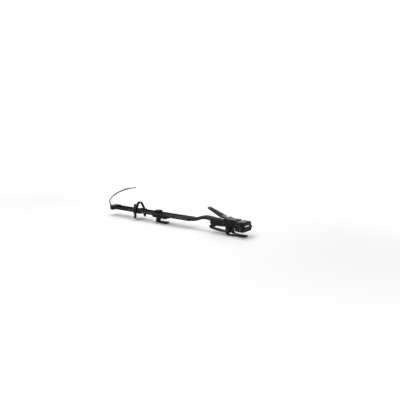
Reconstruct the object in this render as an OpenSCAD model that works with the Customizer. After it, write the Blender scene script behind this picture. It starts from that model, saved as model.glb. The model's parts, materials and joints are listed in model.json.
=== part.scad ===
// Roof carrier with a through axle at its head and a wheel tray behind.
// X runs forward along the carrier, Y to its left, Z up. The origin is the
// middle of the front foot's seat. Millimetres.

/* [Wheel tray] */
// Length of the extruded tray
tray_len = 823; // [760:1:900]
// Half width of the channel between its upright walls
tray_half_w = 40; // [37:0.5:46]
// Half width of the flat base
tray_base_half = 22; // [19:0.5:25]
// Height of the tray from base to rim
tray_h = 24; // [22:0.5:32]
// Height at which the sloping sides turn upright
tray_knee_h = 12; // [10:0.5:14]
// Wall of the extrusion
tray_wall = 3.2; // [2.5:0.1:4]
// Outward lip along each rim
tray_lip = 3.5; // [2.5:0.1:5]
// Underside of the tray above the feet's seats
tray_z = 12; // [11:0.5:16]
// Front end of the tray behind the axle
tray_front = 432; // [425:1:445]

/* [Neck] */
// Width of the neck tube
neck_w = 50; // [44:1:54]
// Height of the neck tube
neck_h = 24; // [22:0.5:26]
// Wall of the neck tube
neck_wall = 3; // [2:0.1:4]
// Rounding of the tube's corners
neck_round = 8; // [7:0.25:10]
// Middle radius of the two bends
neck_bend = 150; // [120:1:170]
// Climb of the ramp in degrees
neck_climb = 20; // [16:0.5:22]
// Fall towards the head in degrees
neck_fall = 5; // [4:0.25:6]
// Straight length of the ramp
neck_ramp = 29; // [22:0.5:34]
// Length of tube that lies inside the tray
neck_lap = 62; // [55:1:80]
// Front end of the tube behind the axle
neck_front = 108; // [104:1:112]

/* [Head] */
// Width of the head housing
head_w = 72; // [68:0.5:80]
// Top of the head housing
head_top = 77; // [75:0.5:82]
// Top of the housing ahead of the lever's pivot
head_deck = 70; // [69:0.5:74]
// Underside of the head housing
head_z = 13; // [11:0.5:16]
// Drop of the housing's belly from the clamp to its rear end
head_belly = 6.5; // [5:0.5:8]
// Rear end of the housing's cradle behind the axle
head_rear = 238; // [225:1:250]
// Joint between housing and front foot, behind the axle
head_joint = 25; // [24:0.5:30]
// Half length of the through axle that the carrier takes
axle_half = 50; // [50:0.5:55]
// Radius of the through axle's bore
axle_r = 6.1; // [5:0.05:7.6]
// Height of the axle above the foot's seat
axle_z = 49; // [46:0.5:52]
// Outer radius of the axle sleeve
sleeve_r = 11; // [10:0.25:13]

/* [Front foot] */
// Width of the foot at the axle
foot_w = 96; // [90:0.5:97]
// Width of the foot at its base
foot_base_w = 108; // [100:0.5:116]
// Front face ahead of the axle
foot_front = 44; // [40:0.5:48]
// Top of the foot
foot_top = 64.5; // [64:0.5:70]
// Thickness of the rubber seat pads
pad_t = 4; // [3:0.25:6]
// Width of the bare plate on the front face
plate_w = 48; // [40:1:60]
// Height of the bare plate
plate_h = 9; // [8:0.5:12]
// Place of the bare plate to the left of the middle
plate_y = -7; // [-10:0.5:0]
// Outer radius of the round lock boss
boss_r = 17; // [15:0.25:18]
// Radius of the lock barrels
barrel_r = 8; // [6:0.25:9]

/* [Torque lever] */
// Length from pivot to tip
lever_len = 166; // [140:1:175]
// Rise of the lever in degrees as it stands
lever_rise = 22; // [21:0.5:26]
// Width at the hub
lever_hub_w = 40; // [34:0.5:42]
// Width of the paddle at its root
lever_root_w = 66; // [56:0.5:70]
// Width of the paddle at its tip
lever_tip_w = 38; // [30:0.5:46]
// Thickness of the paddle
lever_t = 9; // [7:0.25:10]
// Radius of the lever's cam hub
lever_hub_r = 11; // [10:0.25:12]
// Offset of the cam from its pivot
lever_cam = 1; // [0.6:0.05:1.4]
// Radius of the clamp rod that the cam pushes
rod_r = 4; // [3:0.1:4.5]

/* [Bar clamps] */
// Distance between the middles of the two feet's seats
bar_spread = 696; // [670:1:720]
// Depth from the seats to the claws' pads
bar_grip = 28; // [24:0.5:32]
// Half width of the space that the claws reach round
bar_half = 40; // [36:0.5:41]
// Thickness of the claw plates
claw_t = 6; // [5:0.25:8]
// Half width of the claw between its cheeks
claw_gap = 29; // [27:0.25:30]
// Outer radius of the clamp lever's boss
cam_r = 20; // [17:0.25:21]
// Clamp lever's pivot behind the axle
cam_x = 96; // [92:0.5:102]
// Reach of the clamp lever behind its pivot
cam_len = 160; // [145:1:164]
// Thickness of the clamp lever's arm
cam_arm_t = 6.5; // [5:0.25:8]
// Width of the clamp lever's arm
cam_arm_w = 38; // [30:0.5:46]
// Radius of the hinge pins
pin_r = 5; // [4:0.1:6]
// Radius of the rear clamp bolt
bolt_r = 5; // [4:0.1:6]
// Span of the rear hand knob
knob_span = 62; // [54:0.5:64]
// Height of the rear hand knob
knob_h = 38; // [30:0.5:42]

/* [Wheel strap] */
// Place of the strap behind the axle
strap_x = 957; // [940:1:980]
// Width of the strap
strap_w = 25; // [20:0.5:30]
// Thickness of the strap
strap_t = 3; // [2.5:0.1:4]
// Radius of the strap's crown
strap_r = 24; // [20:0.5:27]
// Height of the strap's crown above the seats
strap_top = 99; // [92:0.5:110]
// Lean of the strap's sides in degrees
strap_lean = 30; // [26:0.5:32]
// Spread of the strap's tails from the middle
tail_y = 53; // [51:0.25:56]
// Length of tail below the seats
tail_drop = 28; // [20:0.5:34]
// Length of the sliding cradle
cradle_len = 64; // [56:1:72]

/* [Rear end] */
// Length of the end cap over and behind the tray
cap_len = 60; // [54:1:70]
// Top of the end cap above the tray's underside
cap_h = 30; // [29:0.5:34]
// Thickness of the cap's skin
cap_skin = 2.6; // [2:0.1:3.5]
// Radius of the lock cable
cable_r = 3; // [2.5:0.1:3.5]

/* [Hidden] */
$fn = 64;

// Clearances: between fixed pieces, between sliding pieces, and on pins
fit_gap = 0.1;
run_gap = 0.3;
pin_gap = 0.05;
// A cut goes this far past the face that it opens
past = 1;

black = "#1b1c1d";
anodised = "#3a3c3e";
steel = "#8d9093";
rubber = "#141414";
pale = "#e6e6e4";

tray_rear = -tray_front - tray_len;
tray_floor = tray_z + tray_wall;
tray_top = tray_z + tray_h;
tray_knee = tray_z + tray_knee_h;
tray_side = tray_half_w - tray_wall;
cap_rear = tray_rear - cap_len / 2;
cap_top = tray_z + cap_h;
cap_slant = 8;
cap_sweep = 12;

// The neck's level stretch rests on the tray's floor, then bends up and over
neck_low = tray_floor + neck_h / 2;
neck_start = -tray_front - neck_lap;
bend_start = -tray_front + 12;
up_run = neck_bend * sin(neck_climb);
up_rise = neck_bend * (1 - cos(neck_climb));
ramp_x = bend_start + up_run;
ramp_z = neck_low + up_rise;
over_x = ramp_x + neck_ramp * cos(neck_climb);
over_z = ramp_z + neck_ramp * sin(neck_climb);
fall_x = over_x + up_run + neck_bend * sin(neck_fall);
fall_z = over_z + up_rise - neck_bend * (1 - cos(neck_fall));
fall_len = (-neck_front - fall_x) / cos(neck_fall);
function neck_z(x) = fall_z - (x - fall_x) * tan(neck_fall);

// Lever pivot, clear above the neck's front end
pivot_x = -neck_front - 14;
pivot_z = neck_z(pivot_x) + neck_h / 2 + lever_hub_r + lever_cam + 2;
rod_dx = -pivot_x;
rod_dz = axle_z - pivot_z;
rod_pitch = atan2(-rod_dz, rod_dx);
rod_from = lever_hub_r + lever_cam + 0.4;
rod_to = norm([rod_dx, rod_dz]) - axle_r - 0.5;
bolt_x = -neck_front - 18;

cam_z = -7;
// Curl at the clamp lever's end, and the lowest point of the tab that it clips round
curl_r = 16;
curl_x = -cam_x - cam_len + curl_r + 2;
latch_low = cam_z - cam_r + cam_arm_t + 15.5;
claw_top = -bar_grip - pad_t;
claw_low = claw_top - claw_t;
claw_cheek = claw_gap + 5;
tongue_half = bar_half / 2;
tongue_lip = claw_t;
pad_inset = pad_t / 2;
rear_x = -bar_spread;
rear_bolt_x = rear_x - bar_half - 20;
knob_z = tray_floor + run_gap + 2;
foot_under = tray_z - run_gap;

crown_z = strap_top - strap_t / 2 - strap_r;
knee_y = tail_y;
shoulder_y = strap_r * cos(strap_lean);
shoulder_z = crown_z + strap_r * sin(strap_lean);
knee_z = shoulder_z - (knee_y - shoulder_y) / tan(strap_lean);
side_len = (shoulder_z - knee_z) / cos(strap_lean);
crown_steps = 24;

lock_x = 24;
lock_z = pad_t + boss_r + 2;
plate_z = lock_z + boss_r - 2;
cap_lock_r = barrel_r - 2.5;
cap_lock_z = cap_top - cap_slant - cap_lock_r - 1;
barrel_len = 14;

// Route of the lock cable, from the near ferrule round the loop to the far one,
// measured from the cap's top at its rear end
near_exit = [-1, -14, 1];
far_exit = [-11, 14, cap_lock_z - cap_top];
cable_shape = [
    near_exit, [-6, -14, 6], [-12.5, -14, 14.5], [-16, -14, 25], [-11, -14, 37], [0, -15, 51],
    [19, -16, 68], [45, -18, 87], [79, -20, 105], [117, -22, 122], [159, -24, 138],
    [201, -26, 151], [239, -26, 159], [262, -18, 163], [271, 3, 164], [262, 24, 163],
    [239, 32, 159], [201, 31, 151], [159, 30, 140], [119, 28, 129], [81, 26, 115], [45, 23, 99],
    [15, 20, 82], [-9, 17, 66], [-28, 15, 49], [-40, 14, 32], [-43, 14, 15], [-38.5, 14, 0],
    [-29, 14, -10.5], far_exit + [-8, 0, 0.2], far_exit
];
cable_from = [cap_rear, 0, cap_top];
cable_sides = 10;
cable_steps = 2;

// Helpers

module box(x, y, z) {
    translate([x[0], y[0], z[0]]) cube([x[1] - x[0], y[1] - y[0], z[1] - z[0]]);
}

// Sweeps an outline in X and Z across the width
module across(w) {
    rotate([90, 0, 0]) linear_extrude(w, center = true) children();
}

// Sweeps an outline in Y and Z forward from x
module along(x, len) {
    translate([x, 0, 0]) rotate([90, 0, 90]) linear_extrude(len) children();
}

// A round bar across the carrier
module cross_rod(r, len, x, z, y = 0) {
    translate([x, y, z]) rotate([90, 0, 0]) cylinder(r = r, h = len, center = true);
}

module rounded(w, h, r) {
    square([w - 2 * r, h], center = true);
    square([w, h - 2 * r], center = true);
    for (i = [-1, 1], j = [-1, 1]) translate([i * (w / 2 - r), j * (h / 2 - r)]) circle(r);
}

function both_sides(half) =
    concat(half, [for (i = [len(half) - 1:-1:0]) [-half[i][0], half[i][1]]]);

function arc(x, z, r, from, to, n = 8) =
    [for (i = [0:n]) let (a = from + (to - from) * i / n) [x + r * cos(a), z + r * sin(a)]];

// A band of even thickness along a line of points
function heading(p, i) =
    let (d = p[min(i + 1, len(p) - 1)] - p[max(i - 1, 0)]) d / norm(d);
function band(p, t) = concat(
    [for (i = [0:len(p) - 1]) p[i] + t / 2 * [-heading(p, i)[1], heading(p, i)[0]]],
    [for (i = [len(p) - 1:-1:0]) p[i] - t / 2 * [-heading(p, i)[1], heading(p, i)[0]]]
);

// Tray and rear end

module tray_outline() {
    polygon(both_sides([
        [tray_base_half, tray_z], [tray_half_w, tray_knee], [tray_half_w, tray_top - tray_wall],
        [tray_half_w + tray_lip, tray_top - tray_wall], [tray_half_w + tray_lip, tray_top],
        [tray_side, tray_top], [tray_side, tray_knee + tray_wall / 2],
        [tray_base_half - tray_wall / 3, tray_floor]
    ]));
}

// The solid outer form of the tray, grown by a clearance
module tray_body(gap) {
    polygon(both_sides([
        [tray_base_half + gap / 3, tray_z - gap], [tray_half_w + gap, tray_knee - gap / 2],
        [tray_half_w + gap, tray_top - tray_wall - gap],
        [tray_half_w + tray_lip + gap, tray_top - tray_wall - gap],
        [tray_half_w + tray_lip + gap, tray_top + gap]
    ]));
}

// The open space inside the channel, drawn in by a clearance
module tray_inside(gap, top) {
    polygon(both_sides([
        [tray_base_half - tray_wall / 3 - gap, tray_floor + gap],
        [tray_side - gap, tray_knee + tray_wall / 2 + gap / 2], [tray_side - gap, top]
    ]));
}

module slot_through(x0, x1, r, z0, z1) {
    for (x = [x0, x1]) translate([x, 0, z0]) cylinder(r = r, h = z1 - z0);
    box([x0, x1], [-r, r], [z0, z1]);
}

foot_travel = [-50, 90];

module neck_bolt_places() {
    for (x = [0.3, 0.75]) translate([neck_start + x * neck_lap, 0, 0]) children();
}

module wheel_tray() {
    color(anodised) difference() {
        along(tray_rear, tray_len) tray_outline();
        slot_through(rear_bolt_x + foot_travel[0] - 2, rear_bolt_x + foot_travel[1] + 2,
            bolt_r + run_gap, tray_z - past, tray_floor + past);
        neck_bolt_places() translate([0, 0, tray_z - past])
            cylinder(r = bolt_r - 2 + fit_gap, h = tray_wall + 2 * past);
    }
}

// Block of the cap, rounded in plan, swept up underneath, its rear top edge cut at 45 degrees
module cap_block() {
    skirt = tray_half_w + tray_lip + cap_skin;
    corner = skirt - 6;
    low = tray_z - cap_skin;
    intersection() {
        across(2 * skirt) polygon([
            [cap_rear, low + cap_sweep], [tray_rear, low], [cap_rear + cap_len, low],
            [cap_rear + cap_len, tray_top + cap_skin], [cap_rear + cap_len * 0.75, cap_top],
            [cap_rear + cap_slant, cap_top], [cap_rear, cap_top - cap_slant]
        ]);
        translate([cap_rear + cap_len, 0, low - past]) linear_extrude(cap_h + cap_skin + 2 * past)
            rounded(2 * cap_len, 2 * skirt, corner);
    }
}

module tray_end_cap() {
    color(black) difference() {
        union() {
            difference() {
                cap_block();
                along(tray_rear, cap_len) tray_body(fit_gap);
            }
            along(tray_rear, cap_len / 2) tray_inside(fit_gap, (tray_top + cap_top) / 2);
        }
        at_cap_lock() cylinder(r = cap_lock_r + run_gap, h = barrel_len);
    }
}

// The lock looks rearwards out of the cap's nose, beside the far ferrule
module at_cap_lock() {
    translate([cap_rear - 1, near_exit[1], cap_lock_z]) rotate([0, 90, 0]) children();
}

module cable_lock_barrel() {
    color(steel) at_cap_lock() difference() {
        cylinder(r = cap_lock_r, h = barrel_len - run_gap);
        translate([0, 0, -past]) linear_extrude(3 + past) square([6, 1.6], center = true);
    }
}

module cable_ferrules() {
    ferrule_r = cable_r + 2;
    stand_off = (near_exit[2] - near_exit[0] + cap_slant) / sqrt(2);
    color(steel) translate(cable_from) {
        translate(near_exit) rotate([0, 135, 0]) cylinder(r = ferrule_r, h = stand_off);
        translate(far_exit) rotate([0, 90, 0]) cylinder(r = ferrule_r, h = -far_exit[0]);
    }
}

// Smooth curve through the route's points, then rings square to it
function between(a, b, c, d, t) = 0.5 * (2 * b + (c - a) * t
    + (2 * a - 5 * b + 4 * c - d) * t * t + (3 * b - a - 3 * c + d) * t * t * t);
function smooth_route(p, n) = concat(
    [for (i = [0:len(p) - 2], k = [0:n - 1])
        between(p[max(i - 1, 0)], p[i], p[i + 1], p[min(i + 2, len(p) - 1)], k / n)],
    [p[len(p) - 1]]
);
function unit(v) = v / norm(v);
function ring(c, way, r, n) =
    let (side = unit(cross(way, [0, 0.2, 1])), top = cross(side, way))
    [for (k = [0:n - 1]) c + r * (cos(360 * k / n) * side + sin(360 * k / n) * top)];

module tube(p, r, n, first, last) {
    m = len(p);
    rings = [for (i = [0:m - 1])
        let (way = i == 0 ? first : i == m - 1 ? last : p[i + 1] - p[i - 1])
        each ring(p[i], unit(way), r, n)];
    walls = [for (i = [0:m - 2], k = [0:n - 1]) let (a = i * n + k, b = i * n + (k + 1) % n)
        each [[a, b, b + n], [a, b + n, a + n]]];
    ends = concat([for (k = [1:n - 2]) [0, k + 1, k]],
        [for (k = [1:n - 2]) [(m - 1) * n, (m - 1) * n + k, (m - 1) * n + k + 1]]);
    polyhedron(points = rings, faces = [for (f = concat(walls, ends)) [f[0], f[2], f[1]]]);
}

function run_length(p, i = 0) = i > len(p) - 2 ? 0 : norm(p[i + 1] - p[i]) + run_length(p, i + 1);

module lock_cable() {
    color(black) translate(cable_from)
        tube(smooth_route(cable_shape, cable_steps), cable_r, cable_sides, [-1, 0, 1], [1, 0, 0]);
}

// Neck

module neck_section(grow) {
    rounded(neck_w + 2 * grow, neck_h + 2 * grow, neck_round + grow);
}

// Straight stretch of tube that ends in the head
module neck_end(grow, more = 0) {
    translate([fall_x, 0, fall_z]) rotate([0, neck_fall, 0])
        along(0, fall_len + more) neck_section(grow);
}

// Stations along the middle of the tube: X, Z and the climb there in degrees
bend_steps = 8;
neck_line = concat(
    [[neck_start, neck_low, 0]],
    [for (i = [0:bend_steps]) let (a = neck_climb * i / bend_steps)
        [bend_start + neck_bend * sin(a), neck_low + neck_bend * (1 - cos(a)), a]],
    [for (i = [0:bend_steps]) let (a = neck_climb - (neck_climb + neck_fall) * i / bend_steps)
        [over_x + up_run - neck_bend * sin(a), over_z + up_rise - neck_bend * (1 - cos(a)), a]],
    [[-neck_front, neck_z(-neck_front), -neck_fall]]
);

// One round of the section, drawn in by a wall, at a station
corner_steps = 5;
function neck_ring(at, wall) = [for (q = [0:3], k = [0:corner_steps])
    let (a = 90 * (q + k / corner_steps), r = neck_round - wall,
        side = (q == 0 || q == 3 ? 1 : -1) * (neck_w / 2 - neck_round),
        rise = (q < 2 ? 1 : -1) * (neck_h / 2 - neck_round),
        y = side + r * cos(a), up = rise + r * sin(a))
    [at[0] - up * sin(at[2]), y, at[1] + up * cos(at[2])]];

function skin(first, m, n) = [for (i = [0:m - 2], k = [0:n - 1])
    let (a = first + i * n + k, b = first + i * n + (k + 1) % n)
    each [[a, b, b + n], [a, b + n, a + n]]];
function flip(faces) = [for (f = faces) [f[0], f[2], f[1]]];

module neck_tube() {
    m = len(neck_line);
    n = 4 * (corner_steps + 1);
    inner = m * n;
    rim = [for (k = [0:n - 1]) let (a = k, b = (k + 1) % n)
        each [[a, b + inner, b], [a, a + inner, b + inner]]];
    last = (m - 1) * n;
    polyhedron(
        points = [for (wall = [0, neck_wall], at = neck_line) each neck_ring(at, wall)],
        faces = flip(concat(skin(0, m, n), flip(skin(inner, m, n)), rim,
            flip([for (f = rim) f + [last, last, last]])))
    );
}

module neck_beam() {
    color(anodised) difference() {
        neck_tube();
        neck_bolt_places() translate([0, 0, tray_floor - past])
            cylinder(r = bolt_r - 2 + fit_gap, h = neck_wall + 2 * past);
        cross_rod(pin_r + fit_gap, head_w, bolt_x, neck_z(bolt_x));
    }
}

module neck_bolts() {
    color(steel) neck_bolt_places() {
        translate([0, 0, tray_z - 4]) cylinder(r = bolt_r + 1, h = 4);
        translate([0, 0, tray_z - 1]) cylinder(r = bolt_r - 2, h = tray_wall + neck_wall + 5);
    }
}

module neck_cross_bolt() {
    color(steel) {
        cross_rod(pin_r, head_w, bolt_x, neck_z(bolt_x));
        for (s = [-1, 1]) difference() {
            cross_rod(pin_r + 3, 3, bolt_x, neck_z(bolt_x), s * (head_w / 2 + 1.5));
            translate([bolt_x, s * (head_w / 2 + 2), neck_z(bolt_x)]) rotate([90, 0, 0])
                cylinder(r = 3, h = 2.5, center = true, $fn = 6);
        }
    }
}

// Head

function head_outline() = concat(
    arc(-head_rear + 9, head_z - head_belly + 10, 9, 270, 180),
    [[-head_rear, neck_z(-head_rear) - 7]],
    arc(-head_rear + 6, neck_z(-head_rear) - 7, 6, 180, 90, 4),
    [[-neck_front - 56, neck_z(-neck_front - 56) + 2], [-neck_front - 36, head_top - 16]],
    arc(-neck_front - 24, head_top - 12, 12, 150, 90),
    [[pivot_x + lever_hub_r + 7, head_top], [pivot_x + lever_hub_r + 21, head_deck]],
    arc(-head_joint - 8, head_deck - 8, 8, 90, 0),
    arc(-head_joint - 6, head_z + 9, 6, 0, -80),
    [[-cam_x - cam_r - 8, head_z + 2]]
);

// Tab under the housing's rear end, inside the clamp lever's curl
function latch_outline() = [
    [curl_x + 1, head_z], [curl_x + 1, latch_low + 4], [curl_x + 5, latch_low], [curl_x + 12, latch_low],
    [curl_x + 15, latch_low + 3], [curl_x + 16, head_z]
];

module rod_way(r, from, to) {
    translate([pivot_x, 0, pivot_z]) rotate([0, 90 + rod_pitch, 0]) translate([0, 0, from])
        cylinder(r = r, h = to - from);
}

// Room for the lever's hub and for the root of its paddle as it swings
module lever_room() {
    reach = lever_hub_r + lever_cam + 2;
    cross_rod(reach, lever_hub_w + 2 * run_gap, pivot_x, pivot_z);
    box([pivot_x - reach, pivot_x + reach], [-lever_hub_w / 2 - run_gap, lever_hub_w / 2 + run_gap],
        [pivot_z, head_top + past]);
    box([-head_rear, pivot_x], [-head_w, head_w], [pivot_z - 5.5, head_top + past]);
}

module head_housing() {
    color(black) difference() {
        union() {
            across(head_w) polygon(head_outline());
            across(cam_arm_w - 12) polygon(latch_outline());
        }
        neck_end(fit_gap, fit_gap);
        // The cradle is open above the neck
        translate([fall_x, 0, fall_z]) rotate([0, neck_fall, 0])
            box([-60, fall_len + fit_gap], [-neck_w / 2 - fit_gap, neck_w / 2 + fit_gap], [0, 60]);
        lever_room();
        cross_rod(pin_r + fit_gap, head_w + 2, pivot_x, pivot_z);
        cross_rod(pin_r + fit_gap, head_w + 2, bolt_x, neck_z(bolt_x));
        rod_way(rod_r + run_gap, 0, rod_to);
        // Guides for the claw's two cheeks
        for (s = [-1, 1]) translate([-cam_x, s * (claw_gap + 2.5), head_z + 10])
            cube([30 + 2 * run_gap, 5 + 2 * run_gap, 50], center = true);
    }
}

module foot_outline() {
    low = pad_t;
    polygon(concat(
        [[-head_joint, low], [foot_front - 3, low]],
        arc(foot_front - 4, low + 4, 4, -80, 0, 4),
        arc(foot_front - 13, foot_top - 11, 10, 10, 90),
        arc(-head_joint + 8, foot_top - 8, 8, 90, 180)
    ));
}

module front_foot() {
    base_h = 16;
    corner = 12;
    color(black) difference() {
        union() {
            across(foot_w) foot_outline();
            translate([(foot_front - head_joint) / 2, 0, pad_t]) linear_extrude(base_h)
                rounded(foot_front + head_joint, foot_base_w, corner);
        }
        cross_rod(sleeve_r + fit_gap, foot_w + 2, 0, axle_z);
        rod_way(rod_r + run_gap, 0, rod_to + 20);
        for (s = [-1, 1]) cross_rod(boss_r - 3 + fit_gap, 30, lock_x, lock_z, s * foot_w / 2);
        translate([foot_front - 1.5, plate_y, plate_z])
            cube([3, plate_w + 2 * fit_gap, plate_h + 2 * fit_gap], center = true);
    }
}

module front_pad() {
    groove_step = 10;
    color(rubber) difference() {
        box([-head_joint + 2, foot_front - 3], [-foot_base_w / 2 + 3, foot_base_w / 2 - 3],
            [0, pad_t]);
        for (x = [-head_joint + 10:groove_step:foot_front - 12])
            box([x, x + 3], [-foot_base_w, foot_base_w], [-past, 1.2]);
    }
}

module axle_sleeve() {
    color(steel) difference() {
        union() {
            cross_rod(sleeve_r, foot_w, 0, axle_z);
            for (s = [-1, 1]) cross_rod(sleeve_r + 4, axle_half - foot_w / 2, 0, axle_z,
                s * (axle_half + foot_w / 2) / 2);
        }
        cross_rod(axle_r, 2 * axle_half + 2, 0, axle_z);
        rod_way(rod_r + run_gap, 0, rod_to + 1);
    }
}

module blank_plate() {
    color(pale) translate([foot_front - 2, plate_y, plate_z]) rotate([90, 0, 90])
        linear_extrude(2) rounded(plate_w, plate_h, 2);
}

// A round cover on each side of the foot, the near one bored for the lock
module lock_bosses() {
    proud = (foot_base_w - foot_w) / 2 + 3;
    color(black) for (s = [-1, 1]) difference() {
        union() {
            cross_rod(boss_r, proud, lock_x, lock_z, s * ((foot_base_w + proud) / 2));
            cross_rod(boss_r - 3, foot_base_w / 2 - foot_w / 2 + 14, lock_x, lock_z,
                s * (foot_base_w / 2 + foot_w / 2 - 14) / 2);
        }
        if (s < 0) cross_rod(barrel_r + run_gap, foot_base_w, lock_x, lock_z, s * foot_base_w / 2);
    }
}

module head_lock_barrel() {
    face_y = -foot_base_w / 2 - (foot_base_w - foot_w) / 2 - 3;
    color(steel) difference() {
        cross_rod(barrel_r, 20, lock_x, lock_z, face_y + 9);
        box([lock_x - 1, lock_x + 1], [face_y - 3, face_y + 3], [lock_z - 4, lock_z + 4]);
    }
}

// Torque lever, drawn level behind its pivot and then raised

module at_lever() {
    translate([pivot_x, 0, pivot_z]) rotate([0, lever_rise, 0]) children();
}

module paddle_outline(grow = 0, from = 0) {
    root_x = lever_hub_r + 12;
    tip_r = lever_tip_w / 2 - 3;
    polygon(both_sides_x(concat(
        [[-root_x - from, lever_root_w / 2 + grow - from * 0.1]],
        arc(-lever_len + tip_r * 0.6, lever_tip_w / 2 - tip_r * 0.6 + grow, tip_r * 0.6, 90, 180)
    )));
}
function both_sides_x(half) =
    concat(half, [for (i = [len(half) - 1:-1:0]) [half[i][0], -half[i][1]]]);

module torque_lever() {
    root_x = lever_hub_r + 12;
    color(black) difference() {
        at_lever() {
            cross_rod(lever_hub_r, lever_hub_w, lever_cam * cos(rod_pitch + lever_rise),
                -lever_cam * sin(rod_pitch + lever_rise));
            box([-root_x - 4, 0], [-lever_hub_w / 2, lever_hub_w / 2], [-lever_t / 2, lever_t / 2 + 1]);
            translate([0, 0, -lever_t / 2]) linear_extrude(lever_t) paddle_outline();
        }
        cross_rod(pin_r + pin_gap, lever_root_w, pivot_x, pivot_z);
    }
}

module lever_grip() {
    inset = 9;
    pad = 2;
    color(anodised) at_lever() translate([0, 0, lever_t / 2]) linear_extrude(pad)
        difference() {
            paddle_outline(-inset, 26);
            translate([-lever_len - lever_tip_w + 10, 0]) square(2 * lever_tip_w, center = true);
        }
}

module lever_pin() {
    color(steel) cross_rod(pin_r, head_w, pivot_x, pivot_z);
}

module clamp_rod() {
    color(steel) rod_way(rod_r, rod_from, rod_to);
}

// Front bar clamp

module bar_claw() {
    reach = bar_half - 6;
    color(steel) difference() {
        union() {
            for (s = [-1, 1]) translate([0, s * (claw_gap + 2.5), 0]) across(5) polygon([
                [-cam_x - 15, claw_low + 14], [-cam_x - 15, head_z + 20], [-cam_x + 15, head_z + 20],
                [-cam_x + 15, claw_top + 6], [-bar_half - 18, claw_top], [-bar_half - 18, claw_low],
                [-cam_x, claw_low]
            ]);
            box([-bar_half - 26, -bar_half - 12], [-claw_cheek, claw_cheek], [claw_low, claw_top]);
            box([-bar_half - 14, reach], [-tongue_half, tongue_half], [claw_low, claw_top]);
            box([reach - tongue_lip, reach], [-tongue_half, tongue_half],
                [claw_low, claw_top + pad_t + pad_inset]);
        }
        cross_rod(pin_r + fit_gap, 2 * claw_cheek + 4, -cam_x, cam_z);
    }
}

module claw_pad() {
    color(rubber) box([-bar_half - 10, bar_half - 12], [pad_inset - tongue_half, tongue_half - pad_inset],
        [claw_top, claw_top + pad_t - run_gap]);
}

module cam_lever() {
    low = cam_z - cam_r + cam_arm_t / 2;
    line = concat(
        [[-cam_x, low], [-cam_x - 40, low], [-cam_x - 90, low + 4], [curl_x + 4, low + 10]],
        arc(curl_x, low + 26, curl_r, 255, 175, 6)
    );
    color(black) difference() {
        union() {
            cross_rod(cam_r, 2 * claw_gap - 2 * run_gap, -cam_x, cam_z);
            across(cam_arm_w) polygon(band(line, cam_arm_t));
            cross_rod(cam_arm_t / 2, cam_arm_w, line[len(line) - 1][0], line[len(line) - 1][1]);
        }
        cross_rod(pin_r + pin_gap, 4 * claw_gap, -cam_x, cam_z);
    }
}

module cam_pin() {
    color(steel) {
        cross_rod(pin_r, 2 * claw_cheek + 1, -cam_x, cam_z);
        for (s = [-1, 1]) cross_rod(pin_r + 3, 3, -cam_x, cam_z, s * (claw_cheek + 1.6));
    }
}

// Rear foot with its own claw and hand knob

rear_len = [rear_bolt_x - 24, rear_x + bar_half + 6];
rear_half = tray_half_w + 6;
claw_key = [rear_bolt_x - 20, rear_bolt_x - 14];

module rear_foot() {
    wing_top = tray_top - tray_wall - 2 * run_gap - 1;
    color(black) difference() {
        along(rear_len[0], rear_len[1] - rear_len[0]) difference() {
            polygon(both_sides([[rear_half - 4, pad_t], [rear_half, pad_t + 4], [rear_half, wing_top]]));
            tray_body(run_gap);
        }
        translate([rear_bolt_x, 0, 0]) cylinder(r = bolt_r + run_gap, h = 2 * tray_z);
        box([claw_key[0] - run_gap, claw_key[1] + run_gap], [-8 - run_gap, 8 + run_gap],
            [0, foot_under - 1.5]);
    }
}

module rear_pad() {
    color(rubber) difference() {
        box([rear_x - bar_half, rear_x + bar_half], [-rear_half + 5, rear_half - 5], [0, pad_t]);
        for (x = [rear_x - bar_half + 8:10:rear_x + bar_half - 8])
            box([x, x + 3], [-rear_half, rear_half], [-past, 1.2]);
    }
}

module rear_claw() {
    reach = rear_x + bar_half - 8;
    color(steel) difference() {
        union() {
            box([rear_bolt_x - 14, rear_bolt_x + 12], [-13, 13], [claw_low, -6]);
            box([claw_key[0], claw_key[1]], [-8, 8], [claw_low, pad_t + 4]);
            box([rear_bolt_x + 12, reach], [-tongue_half, tongue_half], [claw_low, claw_top]);
            box([reach - tongue_lip, reach], [-tongue_half, tongue_half],
                [claw_low, claw_top + pad_t + pad_inset]);
        }
        translate([rear_bolt_x, 0, claw_low - past])
            cylinder(r = bolt_r + run_gap, h = bar_grip + claw_t + pad_t + 2 * past);
    }
}

module rear_claw_pad() {
    color(rubber) box([rear_bolt_x + 14, rear_x + bar_half - 14 - run_gap],
        [pad_inset - tongue_half, tongue_half - pad_inset], [claw_top, claw_top + pad_t - run_gap]);
}

module rear_bolt() {
    color(steel) translate([rear_bolt_x, 0, claw_low - 4])
        cylinder(r = bolt_r, h = knob_z + 14 - claw_low + 4);
}

module rear_knob() {
    lobe_r = 9;
    color(black) translate([rear_bolt_x, 0, knob_z]) difference() {
        union() {
            cylinder(r = 12, h = knob_h);
            translate([0, 0, knob_h - 20]) for (a = [0:90:270]) rotate(a + 45) {
                translate([knob_span / 2 - lobe_r, 0, 0]) cylinder(r = lobe_r, h = 20);
                translate([0, -lobe_r * 0.8, 0]) cube([knob_span / 2 - lobe_r, lobe_r * 1.6, 18]);
            }
        }
        translate([0, 0, -past]) cylinder(r = bolt_r + fit_gap, h = 14 + past + fit_gap);
    }
}

module knob_washer() {
    color(steel) translate([rear_bolt_x, 0, tray_floor + run_gap / 2]) difference() {
        cylinder(r = 15, h = 2);
        translate([0, 0, -past]) cylinder(r = bolt_r + run_gap, h = 4);
    }
}

// Wheel strap on its sliding cradle

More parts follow.
